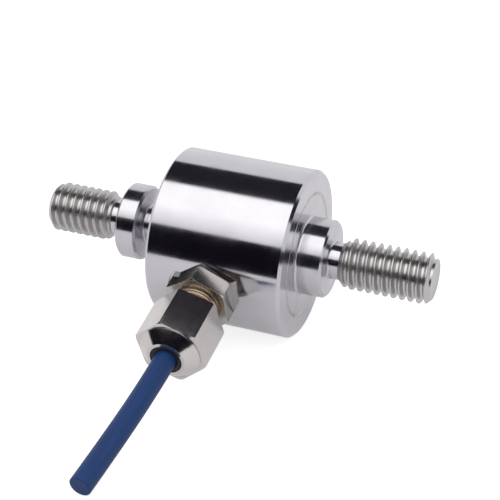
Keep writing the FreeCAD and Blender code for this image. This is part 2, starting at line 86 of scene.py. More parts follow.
# Gland.
GLAND_SIDES = 144
SHANK_DIAMETER = 5.0 * MM
SHANK_LENGTH = 2.4 * MM
BASE_TURN = math.radians(34)
NUT_TURN = math.radians(43)
CORNER_CUT = 0.2 * MM
GLAND_EDGE = 0.09 * MM
NOSE_LENGTH = 1.3 * MM
NOSE_STEP = 0.12 * MM
NOSE_ROUND = 20.0 * MM
NUT_BORE = 3.76 * MM
WASHER_THICKNESS = 0.6 * MM
SEAL_CORE = 4.5 * MM
SEAL_DEPTH = 2.4 * MM
SEAL_INSET = 0.05 * MM
CLEAR = 0.05 * MM

# Cable.
CABLE_SIDES = 64
JACKET_WALL = 0.35 * MM
SCREEN_WALL = 0.1 * MM
JACKET_LIP = 0.16 * MM
SCREEN_LIP = 0.02 * MM
END_SEAL = 0.5 * MM

# The cable's route: distance from the load axis, place along it.
CABLE_ROUTE = [(0.0096, -0.00095), (0.0160, -0.00095), (0.0232, -0.00099),
               (0.0319, -0.00143), (0.0404, -0.00225)]

low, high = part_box("housing_sleeve")
CENTRE = (low + high) / 2
CELL = Matrix.Translation(CENTRE) @ Matrix.Rotation(DIP, 4, "X")
# In the gland's frame X runs outwards along the gland.
GLAND = CELL @ Matrix.Translation((GLAND_PLACE, 0, 0)) @ Matrix.Rotation(-math.pi / 2, 4, "Z")


def length(name, text, default):
    return FloatProperty(name=name, description=text, default=default, min=0.0001,
                         precision=5, unit="LENGTH")


def colour(name, text, default):
    return FloatVectorProperty(name=name, description=text, default=default, size=3,
                               min=0.0, max=1.0, subtype="COLOR")


def share(name, text, default):
    return FloatProperty(name=name, description=text, default=default, min=0.0, max=1.0,
                         subtype="FACTOR")


class LoadCellSizes(bpy.types.PropertyGroup):
    """Sizes of the load cell's visible pieces."""

    body_diameter: length("Body diameter", "Outside of the housing", 20.0 * MM)
    body_length: length("Body length", "Housing from face to face", 16.4 * MM)
    bore_diameter: length("Bore diameter", "Bore that takes the load element", 14.6 * MM)
    boss_diameter: length("Boss diameter", "Round boss on the fixed side", 9.2 * MM)
    boss_length: length("Boss length", "Boss from the face to its shoulder", 3.1 * MM)
    collar_diameter: length("Collar diameter", "Collar on the live side", 9.1 * MM)
    collar_length: length("Collar length", "Collar from shoulder to shoulder", 2.7 * MM)
    neck_diameter: length("Neck diameter", "Slim neck on the live side", 4.4 * MM)
    neck_length: length("Neck length", "Neck from the face to the collar", 3.65 * MM)
    stud_diameter: length("Stud diameter", "Outside of the stud threads", 6.0 * MM)
    stud_pitch: length("Stud pitch", "Pitch of the stud threads", 1.0 * MM)
    right_stud: length("Right stud", "Length of the stud on the fixed side", 12.3 * MM)
    left_stud: length("Left stud", "Length of the stud on the live side", 9.65 * MM)
    relief_diameter: length("Relief diameter", "Undercut behind the threads", 4.4 * MM)
    right_relief: length("Right relief", "Length of the right undercut", 2.1 * MM)
    left_relief: length("Left relief", "Length of the left undercut", 2.3 * MM)
    base_hex: length("Base hexagon", "Gland body across the flats", 7.0 * MM)
    base_height: length("Base height", "Height of the gland body's hexagon", 2.3 * MM)
    nipple_diameter: length("Nipple diameter", "Outside of the gland's thread", 5.8 * MM)
    nipple_length: length("Nipple length", "Length of the gland's thread", 5.0 * MM)
    nipple_pitch: length("Nipple pitch", "Pitch of the gland's thread", 0.75 * MM)
    nut_gap: length("Nut gap", "Thread that shows below the nut", 2.0 * MM)
    nut_hex: length("Nut hexagon", "Compression nut across the flats", 7.4 * MM)
    nut_height: length("Nut height", "Height of the nut's hexagon", 5.8 * MM)
    nose_diameter: length("Nose diameter", "Foot of the nut's domed nose", 7.1 * MM)
    tip_diameter: length("Tip diameter", "Flat tip of the nose", 4.5 * MM)
    cable_diameter: length("Cable diameter", "Outside of the jacket", 2.5 * MM)


class LoadCellFinishes(bpy.types.PropertyGroup):
    """Colours and polish of the load cell's pieces."""

    steel: colour("Steel", "Polished stainless steel", (0.555, 0.545, 0.585))
    steel_roughness: share("Steel roughness", "Roughness of the polished housing", 0.10)
    turned_roughness: share("Turned roughness", "Roughness of the turned element", 0.14)
    thread: colour("Thread", "Rolled threads of the studs", (0.53, 0.515, 0.52))
    thread_roughness: share("Thread roughness", "Roughness of the rolled threads", 0.26)
    nickel: colour("Nickel", "Nickel plating of the gland", (0.60, 0.58, 0.585))
    nickel_roughness: share("Nickel roughness", "Roughness of the plating", 0.13)
    worn: colour("Worn plating", "Handled plating of the gland's base", (0.50, 0.49, 0.47))
    worn_roughness: share("Worn roughness", "Roughness of the handled plating", 0.19)
    brassy: colour("Thin plating", "Thinly plated thread of the gland", (0.52, 0.42, 0.33))
    brassy_roughness: share("Thin roughness", "Roughness of the thin plating", 0.24)
    jacket: colour("Jacket", "Blue cable jacket", (0.010, 0.036, 0.132))
    seal: colour("Seal", "Black rubber seal", (0.006, 0.006, 0.007))


def sizes():
    return bpy.context.scene.load_cell_sizes


def finishes():
    return bpy.context.scene.load_cell_finishes


# Shapes

def round_ring(x, radius, count, turn=0.0):
    step = 2 * math.pi / count
    return [Vector((x, radius * math.cos(turn + step * k), radius * math.sin(turn + step * k)))
            for k in range(count)]


def square_ring(x, half, count):
    """A square with as many points as the rings beside it, and in the same directions."""
    ring = []
    for point in round_ring(x, 1.0, count):
        reach = half / max(abs(point.y), abs(point.z))
        ring.append(Vector((x, point.y * reach, point.z * reach)))
    return ring


def hexagon_end(plane, across, count, turn, start, side):
    """Rim of a hexagon's flat end, and the top of its walls where a cone takes the corners."""
    rim, wall = [], []
    for k in range(count):
        angle = 2 * math.pi * k / count
        off = (angle + math.pi / 6) % (math.pi / 3) - math.pi / 6
        radius = across / 2 / math.cos(math.pi / 6 - abs(off))
        inside = min(radius, start)
        drop = (radius - inside) * math.tan(math.pi / 6)
        y, z = math.cos(turn + angle), math.sin(turn + angle)
        rim.append(Vector((plane, inside * y, inside * z)))
        wall.append(Vector((plane - side * drop, radius * y, radius * z)))
    return rim, wall


def hexagon_rings(back, front, across, count, turn, cut):
    """A hexagon from end to end, with its corners turned down by a small cut."""
    start = across / math.sqrt(3) - cut
    rim, wall = hexagon_end(back, across, count, turn, start, -1)
    top_rim, top_wall = hexagon_end(front, across, count, turn, start, 1)
    return [rim, wall, top_wall, top_rim]


def rounded(corners, steps=6):
    """Points of a turned outline. A corner's third value rounds it by that radius."""
    points = []
    for k, corner in enumerate(corners):
        spot = Vector(corner[:2])
        if len(corner) < 3:
            points.append(spot)
            continue
        come = (spot - Vector(corners[k - 1][:2])).normalized()
        leave = (Vector(corners[k + 1][:2]) - spot).normalized()
        half = come.angle(leave) / 2
        trim = corner[2] * math.tan(half)
        middle = spot + (leave - come).normalized() * corner[2] / math.cos(half)
        first = (spot - come * trim - middle).normalized()
        last = (spot + leave * trim - middle).normalized()
        for step in range(steps + 1):
            points.append(middle + first.slerp(last, step / steps) * corner[2])
    return points


def turned_rings(corners, count, turn=0.0):
    return [round_ring(point.x, point.y, count, turn) for point in rounded(corners)]


def ring_mesh(name, rings, place, closed):
    """Skin a row of rings. A closed row is a hollow piece, an open one is capped."""
    shape = bmesh.new()
    rows = [[shape.verts.new(place @ point) for point in ring] for ring in rings]
    pairs = list(zip(rows, rows[1:]))
    if closed:
        pairs.append((rows[-1], rows[0]))
    for near, far in pairs:
        for k in range(len(near)):
            after = (k + 1) % len(near)
            shape.faces.new((near[k], near[after], far[after], far[k]))
    if not closed:
        shape.faces.new(rows[0])
        shape.faces.new(rows[-1])
    bmesh.ops.remove_doubles(shape, verts=shape.verts, dist=1e-7)
    bmesh.ops.recalc_face_normals(shape, faces=shape.faces)
    mesh = bpy.data.meshes.new(name)
    shape.to_mesh(mesh)
    shape.free()
    return mesh


def add_piece(name, mesh):
    """Put a mesh in the scene as a smooth piece."""
    piece = bpy.data.objects.new(name, mesh)
    bpy.context.scene.collection.objects.link(piece)
    for polygon in mesh.polygons:
        polygon.use_smooth = True
    return piece


def settle(piece):
    """Turn a piece and its modifiers into one plain mesh."""
    bpy.context.view_layer.update()
    graph = bpy.context.evaluated_depsgraph_get()
    mesh = bpy.data.meshes.new_from_object(piece.evaluated_get(graph), depsgraph=graph)
    piece.modifiers.clear()
    piece.data = mesh
    return piece


def soften_edges(piece, width, segments=2, angle=28):
    """Break a machined piece's edges and keep its faces flat in the light."""
    piece.data.set_sharp_from_angle(angle=math.radians(11))
    bevel = piece.modifiers.new("edges", "BEVEL")
    bevel.width = width
    bevel.segments = segments
    bevel.limit_method = "ANGLE"
    bevel.angle_limit = math.radians(angle)
    normals = piece.modifiers.new("normals", "WEIGHTED_NORMAL")
    normals.keep_sharp = True
    return settle(piece)


def dress(piece, node, material):
    """Hand a finished piece to the frame in place of a solid."""
    piece.data.materials.clear()
    piece.data.materials.append(material)
    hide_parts(node)
    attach(piece, "root")


# Screw threads

class Nodes:
    """Short words for wiring a node tree."""

    def __init__(self, tree):
        self.tree = tree

    def add(self, kind, **settings):
        node = self.tree.nodes.new(kind)
        for key, value in settings.items():
            setattr(node, key, value)
        return node

    def feed(self, socket, value):
        if isinstance(value, bpy.types.NodeSocket):
            self.tree.links.new(value, socket)
        else:
            socket.default_value = value

    def math(self, operation, *values):
        node = self.add("ShaderNodeMath", operation=operation)
        for socket, value in zip(node.inputs, values):
            self.feed(socket, value)
        return node.outputs[0]

    def vector(self, x, y, z):
        node = self.add("ShaderNodeCombineXYZ")
        for socket, value in zip(node.inputs, (x, y, z)):
            self.feed(socket, value)
        return node.outputs[0]

    def split(self, vector):
        node = self.add("ShaderNodeSeparateXYZ")
        self.feed(node.inputs[0], vector)
        return node.outputs


THREAD_INPUTS = ["Start", "End", "Start Radius", "End Radius", "Crest Radius", "Pitch", "Depth"]


def thread_tree():
    """A screw thread along X: a grid of turns rolled round the axis and clamped at its ends."""
    tree = bpy.data.node_groups.new("screw_thread", "GeometryNodeTree")
    tree.interface.new_socket("Geometry", in_out="INPUT", socket_type="NodeSocketGeometry")
    for label in THREAD_INPUTS:
        tree.interface.new_socket(label, in_out="INPUT", socket_type="NodeSocketFloat")
    tree.interface.new_socket("Segments", in_out="INPUT", socket_type="NodeSocketInt")
    tree.interface.new_socket("Finish", in_out="INPUT", socket_type="NodeSocketMaterial")
    tree.interface.new_socket("Geometry", in_out="OUTPUT", socket_type="NodeSocketGeometry")
    n = Nodes(tree)
    given = n.add("NodeGroupInput").outputs
    start, end, pitch = given["Start"], given["End"], given["Pitch"]
    span = n.math("DIVIDE", n.math("SUBTRACT", end, start), pitch)
    turns = n.math("CEIL", n.math("ADD", span, 2.0))
    columns = n.math("MULTIPLY", turns, float(THREAD_SAMPLES))
    grid = n.add("GeometryNodeMeshGrid")
    n.feed(grid.inputs["Size X"], 1.0)
    n.feed(grid.inputs["Size Y"], 1.0)
    n.feed(grid.inputs["Vertices X"], n.math("ADD", columns, 1.0))
    n.feed(grid.inputs["Vertices Y"], n.math("ADD", given["Segments"], 1.0))
    spot = n.split(n.add("GeometryNodeInputPosition").outputs[0])
    turn = n.math("MULTIPLY", n.math("ADD", spot[0], 0.5), turns)
    around = n.math("ADD", spot[1], 0.5)
    # Rounded to whole samples, so that no column slips to the next turn.
    sample = n.math("ROUND", n.math("MULTIPLY", turn, float(THREAD_SAMPLES)))
    turn = n.math("DIVIDE", sample, float(THREAD_SAMPLES))
    advance = n.math("MULTIPLY", n.math("ADD", n.math("SUBTRACT", turn, 1.5), around), pitch)
    reach = n.math("ADD", advance, start)
    x = n.math("MINIMUM", n.math("MAXIMUM", reach, start), end)
    phase = n.math("FRACT", turn)
    away = n.math("ABSOLUTE", n.math("SUBTRACT", phase, 0.5))
    flank = n.add("ShaderNodeMapRange", clamp=True)
    n.feed(flank.inputs["Value"], away)
    n.feed(flank.inputs["From Min"], 1 / THREAD_SAMPLES)
    n.feed(flank.inputs["From Max"], 6 / THREAD_SAMPLES)
    n.feed(flank.inputs["To Min"], given["Crest Radius"])
    root = n.math("SUBTRACT", given["Crest Radius"], given["Depth"])
    n.feed(flank.inputs["To Max"], root)
    near = n.math("ADD", given["Start Radius"], n.math("SUBTRACT", x, start))
    far = n.math("ADD", given["End Radius"], n.math("SUBTRACT", end, x))
    radius = n.math("MINIMUM", flank.outputs["Result"], n.math("MINIMUM", near, far))
    angle = n.math("MULTIPLY", around, 2 * math.pi)
    y = n.math("MULTIPLY", radius, n.math("COSINE", angle))
    z = n.math("MULTIPLY", radius, n.math("SINE", angle))
    rolled = n.add("GeometryNodeSetPosition")
    n.feed(rolled.inputs["Geometry"], grid.outputs["Mesh"])
    n.feed(rolled.inputs["Position"], n.vector(x, y, z))
    merged = n.add("GeometryNodeMergeByDistance")
    n.feed(merged.inputs["Geometry"], rolled.outputs[0])
    n.feed(merged.inputs["Distance"], 2e-6)
    real = n.add("GeometryNodeRealizeInstances")
    n.feed(real.inputs[0], merged.outputs[0])
    finish = n.add("GeometryNodeSetMaterial")
    n.feed(finish.inputs["Geometry"], real.outputs[0])
    n.feed(finish.inputs["Material"], given["Finish"])
    n.feed(n.add("NodeGroupOutput").inputs[0], finish.outputs[0])
    return tree


def close_thread(mesh, bore):
    """Close a rolled thread with flat ends, or with a bore where it goes round something."""
    shape = bmesh.new()
    shape.from_mesh(mesh)
    bmesh.ops.dissolve_degenerate(shape, dist=1e-7, edges=shape.edges)
    for face in shape.faces:
        face.smooth = True
    ends = [edge for edge in shape.edges if edge.is_boundary]
    if bore:
        inner = bmesh.ops.extrude_edge_only(shape, edges=ends)["geom"]
        for vert in [item for item in inner if isinstance(item, bmesh.types.BMVert)]:
            side = Vector((vert.co.y, vert.co.z)).normalized() * bore
            vert.co = (vert.co.x, side.x, side.y)
        rim = [item for item in inner if isinstance(item, bmesh.types.BMEdge)]
        bmesh.ops.bridge_loops(shape, edges=[edge for edge in rim if edge.is_boundary])
    else:
        bmesh.ops.holes_fill(shape, edges=ends, sides=0)
    for edge in ends:
        edge.smooth = False
    bmesh.ops.recalc_face_normals(shape, faces=shape.faces)
    shape.to_mesh(mesh)
    shape.free()


def thread(name, tree, place, material, values, bore=0.0):
    """A piece made by the thread tree. The values follow THREAD_INPUTS."""
    piece = add_piece(name, bpy.data.meshes.new(name))
    screw = piece.modifiers.new("thread", "NODES")
    screw.node_group = tree
    sockets = {item.name: item.identifier for item in tree.interface.items_tree
               if item.in_out == "INPUT"}
    for label, value in zip(THREAD_INPUTS, values):
        screw[sockets[label]] = value
    screw[sockets["Segments"]] = THREAD_SIDES
    screw[sockets["Finish"]] = material
    settle(piece)
    piece.data.name = name
    close_thread(piece.data, bore)
    piece.data.transform(place)
    return piece


# Materials

def new_material(name):
    material = bpy.data.materials.new(name)
    material.use_nodes = True
    n = Nodes(material.node_tree)
    shader = material.node_tree.nodes["Principled BSDF"]
    return material, n, shader


def own_coordinates(n, place):
    """Object coordinates turned into a piece's own frame, in millimetres."""
    mapping = n.add("ShaderNodeMapping", vector_type="TEXTURE")
    mapping.inputs["Location"].default_value = place.to_translation()
    mapping.inputs["Rotation"].default_value = place.to_euler()
    mapping.inputs["Scale"].default_value = (MM, MM, MM)
    n.feed(mapping.inputs["Vector"], n.add("ShaderNodeTexCoord").outputs["Object"])
    return mapping.outputs[0]


def noise(n, vector, scale, detail, roughness):
    node = n.add("ShaderNodeTexNoise")
    n.feed(node.inputs["Vector"], vector)
    n.feed(node.inputs["Scale"], scale)
    n.feed(node.inputs["Detail"], detail)
    n.feed(node.inputs["Roughness"], roughness)
    return node.outputs["Fac"]


def spread(n, value, low, high, out_low, out_high):
    """Stretch a part of a value's range over another range, and hold it at both ends."""
    node = n.add("ShaderNodeMapRange", clamp=True)
    for socket, number in zip(node.inputs, (value, low, high, out_low, out_high)):
        n.feed(socket, number)
    return node.outputs["Result"]


def stretched(n, parts, scales):
    return n.vector(*(n.math("MULTIPLY", part, scale) for part, scale in zip(parts, scales)))


def mixed(n, factor, first, second):
    node = n.add("ShaderNodeMix", data_type="RGBA")
    n.feed(node.inputs[0], factor)
    for socket, tint in ((node.inputs[6], first), (node.inputs[7], second)):
        n.feed(socket, tint if isinstance(tint, bpy.types.NodeSocket) else (*tint, 1.0))
    return node.outputs[2]


def bump(n, shader, height, distance):
    node = n.add("ShaderNodeBump")
    n.feed(node.inputs["Height"], height)
    n.feed(node.inputs["Distance"], distance)
    n.feed(shader.inputs["Normal"], node.outputs["Normal"])


def turned_steel(name, place, tint, roughness, groove, weld=0.0):
    """Steel with the fine rings that a lathe and a polishing cloth leave round X.

    The faces are duller than the round sides. A weld's radius brings its straw-brown halo.
    """
    material, n, shader = new_material(name)
    own = own_coordinates(n, place)
    x, y, z = n.split(own)
    radius = n.math("SQRT", n.math("ADD", n.math("MULTIPLY", y, y), n.math("MULTIPLY", z, z)))
    angle = n.math("ARCTAN2", z, y)
    rings = noise(n, stretched(n, (x, radius, angle), (14.0, 14.0, 0.6)), 1.0, 4.0, 0.6)
    smudge = noise(n, own, 0.22, 4.0, 0.6)
    hair = noise(n, stretched(n, (x, y, z), (0.5, 9.0, 9.0)), 1.0, 2.0, 0.5)
    scratch = n.math("MULTIPLY", spread(n, hair, 0.70, 0.76, 0.0, 1.0), 0.10)
    facing = n.split(n.add("ShaderNodeNewGeometry").outputs["Normal"])[0]
    faced = spread(n, n.math("ABSOLUTE", facing), 0.85, 0.95, 0.0, 1.0)
    base = spread(n, rings, 0.3, 0.7, roughness * 0.8, roughness * 1.25)
    worn = n.math("MULTIPLY", spread(n, smudge, 0.45, 0.75, 0.0, 1.0), roughness * 0.5)
    total = n.math("ADD", n.math("ADD", base, worn), scratch)
    n.feed(shader.inputs["Roughness"], n.math("ADD", total, n.math("MULTIPLY", faced, 0.10)))
    dull = tuple(part * 0.93 for part in tint)
    metal = mixed(n, spread(n, smudge, 0.35, 0.7, 0.0, 1.0), tint, dull)
    if weld:
        off = n.math("ABSOLUTE", n.math("SUBTRACT", radius, weld))
        halo = n.math("MULTIPLY", spread(n, off, 0.02, 0.35, 1.0, 0.0), faced)
        patch = spread(n, noise(n, own, 0.9, 3.0, 0.6), 0.40, 0.62, 0.15, 0.95)
        metal = mixed(n, n.math("MULTIPLY", halo, patch), metal, (0.30, 0.24, 0.18))
    n.feed(shader.inputs["Base Color"], metal)
    shader.inputs["Metallic"].default_value = 1.0
    deeper = n.math("ADD", n.math("MULTIPLY", faced, 1.5), 1.0)
    bump(n, shader, n.math("MULTIPLY", rings, deeper), groove)
    return material


def nickel_plate(name, place, tint, roughness):
    """Bright plating over brass, a little orange-peeled and warm where it is thin."""
    material, n, shader = new_material(name)
    own = own_coordinates(n, place)
    cloud = noise(n, own, 0.45, 4.0, 0.6)
    grain = noise(n, own, 5.0, 3.0, 0.5)
    warm = (tint[0] * 0.98, tint[1] * 0.92, tint[2] * 0.88)
    thin = spread(n, cloud, 0.45, 0.72, 0.0, 1.0)
    n.feed(shader.inputs["Base Color"], mixed(n, thin, tint, warm))
    peel = spread(n, grain, 0.3, 0.7, roughness * 0.75, roughness * 1.3)
    n.feed(shader.inputs["Roughness"], peel)
    shader.inputs["Metallic"].default_value = 1.0
    bump(n, shader, grain, 0.004 * MM)
    return material


def plastic(name, place, tint, shade, roughness, scale, depth, metallic=0.0):
    """Moulded, drawn or printed matter with a fine grain of two close colours."""
    material, n, shader = new_material(name)
    own = own_coordinates(n, place)
    grain = noise(n, own, scale, 4.0, 0.6)
    blend = spread(n, grain, 0.35, 0.65, 0.0, 1.0)
    n.feed(shader.inputs["Base Color"], mixed(n, blend, tint, shade))
    rough = spread(n, grain, 0.3, 0.7, roughness * 0.85, roughness * 1.2)
    n.feed(shader.inputs["Roughness"], rough)
    shader.inputs["Metallic"].default_value = metallic
    bump(n, shader, grain, depth * MM)
    return material


def braid(name, place):
    """Tinned copper braid, two families of strands laid crosswise round the cores. The hollows of
    the weave get painted shade.
    """
    material, n, shader = new_material(name)
    x, y, z = n.split(own_coordinates(n, place))
    angle = n.math("ARCTAN2", z, y)
    strands = []
    for hand in (-1, 1):
        lead = n.math("ADD", n.math("MULTIPLY", x, 6.0 * hand), n.math("MULTIPLY", angle, 8.0))
        strands.append(n.math("SINE", lead))
    weave = n.math("MULTIPLY", *strands)
    # Painted shade: the weave's low places, where the bump sinks, are painted dark grey and the
    # high ones tin.
    braid_tin_and_painted_shade = mixed(n, spread(n, weave, -1.0, 1.0, 0.0, 1.0), (0.30, 0.30, 0.30), (0.62, 0.61, 0.59))
    n.feed(shader.inputs["Base Color"], braid_tin_and_painted_shade)
    shader.inputs["Metallic"].default_value = 1.0
    shader.inputs["Roughness"].default_value = 0.32
    bump(n, shader, weave, 0.03 * MM)
    return material


def jacket_material():
    """Matt blue jacket with faint streaks from the extruder."""
    tint = tuple(finishes().jacket)
    material, n, shader = new_material("blue_jacket")
    x, y, z = n.split(own_coordinates(n, GLAND))
    streak = noise(n, stretched(n, (x, y, z), (0.12, 2.2, 2.2)), 1.0, 4.0, 0.6)
    grain = noise(n, n.vector(x, y, z), 9.0, 3.0, 0.5)
    shader.inputs["Specular IOR Level"].default_value = 0.22
    pale = tuple(part * 1.25 for part in tint)
    drawn = spread(n, streak, 0.35, 0.68, 0.0, 1.0)
    n.feed(shader.inputs["Base Color"], mixed(n, drawn, tint, pale))
    n.feed(shader.inputs["Roughness"], spread(n, grain, 0.3, 0.7, 0.40, 0.56))
    bump(n, shader, n.math("ADD", streak, n.math("MULTIPLY", grain, 0.4)), 0.02 * MM)
    return material


# Pieces

class BuildLoadElement(bpy.types.Operator):
    """Turned load element with its two threaded studs"""

    bl_idname = "load_cell.element"
    bl_label = "Load element"

    def execute(self, context):
        s = sizes()
        finish = finishes()
        bore = s.bore_diameter / 2
        steel = turned_steel("turned_steel", CELL, tuple(finish.steel),
                             finish.turned_roughness, 0.0020 * MM, bore / MM)
        rolled = turned_steel("rolled_thread", CELL, tuple(finish.thread),
                              finish.thread_roughness, 0.0040 * MM)
        face = s.body_length / 2
        boss, collar = s.boss_diameter / 2, s.collar_diameter / 2
        neck, relief, stud = s.neck_diameter / 2, s.relief_diameter / 2, s.stud_diameter / 2
        run = stud - relief
        shoulder = -face - s.neck_length
        seat = shoulder - s.collar_length
        right = face + s.boss_length
        left_foot = seat - s.left_relief + run
        right_foot = right + s.right_relief - run
        rim, hub, column = RIM_BORE / 2, HUB_DIAMETER / 2, COLUMN_WIDTH / 2
        left_hub = -face + WEB + HUB_LENGTH
        back = face - DISC_THICKNESS
        right_hub = back - HUB_LENGTH
        left_part = [
            (left_foot, relief), (seat, relief, ROOT), (seat, collar - EDGE),
            (seat + EDGE, collar), (shoulder - EDGE, collar), (shoulder, collar - EDGE),
            (shoulder, neck, ROOT), (-face, neck, ROOT), (-face, bore - WELD),
            (-face + WELD, bore), (-face + RIM_LENGTH, bore), (-face + RIM_LENGTH, rim),
            (-face + WEB, rim), (-face + WEB, hub, ROOT), (left_hub, hub),
        ]
        right_part = [
            (right_hub, hub), (back, hub), (back, bore), (face - WELD, bore),
            (face, bore - WELD), (face, boss, ROOT), (right - EDGE, boss),
            (right, boss - EDGE), (right, relief, ROOT), (right_foot, relief),
        ]
        rings = turned_rings(left_part, 160)
        rings += [square_ring(left_hub, column, 160), square_ring(right_hub, column, 160)]
        rings += turned_rings(right_part, 160)
        bar = add_piece("load_element_bar", ring_mesh("load_element_bar", rings, CELL, False))
        soften_edges(bar, BROKEN_EDGE)
        dress(bar, "load_element", steel)

        tree = thread_tree()
        depth = THREAD_DEPTH * s.stud_pitch
        tip = stud - depth - 0.03 * MM
        left_tip = seat - s.left_stud
        right_tip = right + s.right_stud
        left = (left_tip, left_foot, tip, relief, stud, s.stud_pitch, depth)
        fixed = (right_foot, right_tip, relief, tip, stud, s.stud_pitch, depth)
        for name, values in (("left_stud_thread", left), ("right_stud_thread", fixed)):
            screw = thread(name, tree, CELL, rolled, values)
            dress(screw, "load_element", rolled)
        return {"FINISHED"}


class BuildHousing(bpy.types.Operator):
    """Polished housing ring with the gland's spot face and hole"""

    bl_idname = "load_cell.housing"
    bl_label = "Housing"

    def execute(self, context):
        s = sizes()
        finish = finishes()
        steel = turned_steel("polished_steel", CELL, tuple(finish.steel),
                             finish.steel_roughness, 0.0012 * MM, s.bore_diameter / 2 / MM)
        face, bore, outside = s.body_length / 2, s.bore_diameter / 2, s.body_diameter / 2
        outline = [
            (-face, bore + WELD), (-face + WELD, bore), (face - WELD, bore),
            (face, bore + WELD), (face, outside - BODY_EDGE), (face - BODY_EDGE, outside),
            (-face + BODY_EDGE, outside), (-face, outside - BODY_EDGE),
        ]
        mesh = ring_mesh("housing_polished", turned_rings(outline, 256), CELL, True)
        housing = add_piece("housing_polished", mesh)
        seat = outside - SEAT_CUT
        cutter = [
            (bore - 2 * MM, SHANK_DIAMETER / 2), (seat, SHANK_DIAMETER / 2),
            (seat, SEAT_DIAMETER / 2), (outside + 2 * MM, SEAT_DIAMETER / 2),
        ]
        tool = add_piece("seat_cutter", ring_mesh("seat_cutter", turned_rings(cutter, 128),
                                                  GLAND, False))
        cut = housing.modifiers.new("spot_face", "BOOLEAN")
        cut.operation = "DIFFERENCE"
        cut.solver = "EXACT"
        cut.object = tool
        settle(housing)
        bpy.data.objects.remove(tool)
        soften_edges(housing, BROKEN_EDGE)
        dress(housing, "housing_sleeve", steel)
        return {"FINISHED"}


def gland_stations():
    """Places along the gland, counted outwards from the load axis."""
    s = sizes()
    seat = s.body_diameter / 2 - SEAT_CUT
    hex_front = seat + s.base_height
    nipple_end = hex_front + s.nipple_length
    nut_back = hex_front + s.nut_gap
    nut_front = nut_back + s.nut_height
    tip = nut_front + NOSE_LENGTH
    washer = nipple_end + 0.1 * MM
    return seat, hex_front, nipple_end, nut_back, nut_front, tip, washer


class BuildGland(bpy.types.Operator):
    """Cable gland: body, nipple thread, compression nut and rubber seal"""

    bl_idname = "load_cell.gland"
    bl_label = "Cable gland"

    def execute(self, context):
        s = sizes()
        finish = finishes()
        nickel = nickel_plate("nickel_plate", GLAND, tuple(finish.nickel), finish.nickel_roughness)
        rubber = plastic("black_rubber", GLAND, tuple(finish.seal), (0.009, 0.009, 0.010),
                         0.62, 3.0, 0.01)
        seat, hex_front, nipple_end, nut_back, nut_front, tip, washer = gland_stations()
        count, cut = GLAND_SIDES, CORNER_CUT
        cable = s.cable_diameter / 2 + CLEAR
        shank, seal = SHANK_DIAMETER / 2, SEAL_CORE / 2
        depth = THREAD_DEPTH * s.nipple_pitch
        crest = s.nipple_diameter / 2
        core = crest - depth

        turn = BASE_TURN
        seal_back = nipple_end - SEAL_DEPTH
        rings = turned_rings([(seat - SHANK_LENGTH, cable), (seat - SHANK_LENGTH, shank),
                              (seat, shank)], count, turn)
        rings += hexagon_rings(seat, hex_front, s.base_hex, count, turn, cut)
        rings += turned_rings([(hex_front, core), (nipple_end, core),
                               (nipple_end, seal), (seal_back, seal), (seal_back, cable)],
                              count, turn)
        body = add_piece("gland_body_hex", ring_mesh("gland_body_hex", rings, GLAND, True))
        soften_edges(body, GLAND_EDGE)
        worn = nickel_plate("worn_plate", GLAND, tuple(finish.worn), finish.worn_roughness)
        dress(body, "gland_body", worn)
        values = (hex_front, nipple_end, core, crest - depth, crest, s.nipple_pitch, depth)
        brassy = nickel_plate("thin_plate", GLAND, tuple(finish.brassy), finish.brassy_roughness)
        screw = thread("nipple_thread", bpy.data.node_groups["screw_thread"], GLAND, brassy,
                       values, bore=core - CLEAR)
        dress(screw, "gland_body", brassy)

        turn = NUT_TURN
        nose, mouth, bore = s.nose_diameter / 2, s.tip_diameter / 2, NUT_BORE / 2
        inside = washer + WASHER_THICKNESS
        rings = turned_rings([(nut_back, crest)], count, turn)
        rings += hexagon_rings(nut_back, nut_front, s.nut_hex, count, turn, cut)
        dome = self.dome(nut_front + NOSE_STEP, nose, tip, mouth, NOSE_ROUND)
        rings += turned_rings([(nut_front, nose)] + dome
                              + [(tip, bore), (inside, bore), (inside, crest)], count, turn)
        nut = add_piece("cap_nut_hex", ring_mesh("cap_nut_hex", rings, GLAND, True))
        soften_edges(nut, GLAND_EDGE)
        dress(nut, "cap_nut", nickel)

        outline = [(seal_back, cable), (seal_back, seal), (washer, seal), (washer, bore),
                   (tip - SEAL_INSET, bore), (tip - SEAL_INSET, cable)]
        bush = add_piece("cable_seal_bush",
                         ring_mesh("cable_seal_bush", turned_rings(outline, 96), GLAND, True))
        soften_edges(bush, GLAND_EDGE, 3)
        dress(bush, "cable_seal", rubber)
        return {"FINISHED"}

    def dome(self, start, wide, end, narrow, radius, steps=10):
        """Arc of the nut's nose, from its foot to its flat tip."""
        foot, top = Vector((start, wide)), Vector((end, narrow))
        chord = top - foot
        across = Vector((chord.y, -chord.x)).normalized()
        lift = math.sqrt(radius ** 2 - chord.length_squared / 4)
        middle = (foot + top) / 2 + across * lift
        first, last = (foot - middle).normalized(), (top - middle).normalized()
        return [tuple(middle + first.slerp(last, k / steps) * radius) for k in range(steps + 1)]


def cable_line():
    """Points of the cable's smooth centre line, on the floor as it lies."""
    data = bpy.data.curves.new("cable_line", "CURVE")
    data.dimensions = "3D"
    spline = data.splines.new("NURBS")
    spline.points.add(len(CABLE_ROUTE) - 1)
    for point, (reach, place) in zip(spline.points, CABLE_ROUTE):
        point.co = (*(CELL @ Vector((place, -reach, 0))), 1.0)
    spline.order_u = 3
    spline.use_endpoint_u = True
    spline.resolution_u = 24
    line = bpy.data.objects.new("cable_line", data)
    bpy.context.scene.collection.objects.link(line)
    bpy.context.view_layer.update()
    graph = bpy.context.evaluated_depsgraph_get()
    mesh = bpy.data.meshes.new_from_object(line.evaluated_get(graph), depsgraph=graph)
    points = [vert.co.copy() for vert in mesh.vertices]
    bpy.data.meshes.remove(mesh)
    bpy.data.objects.remove(line)
    return points


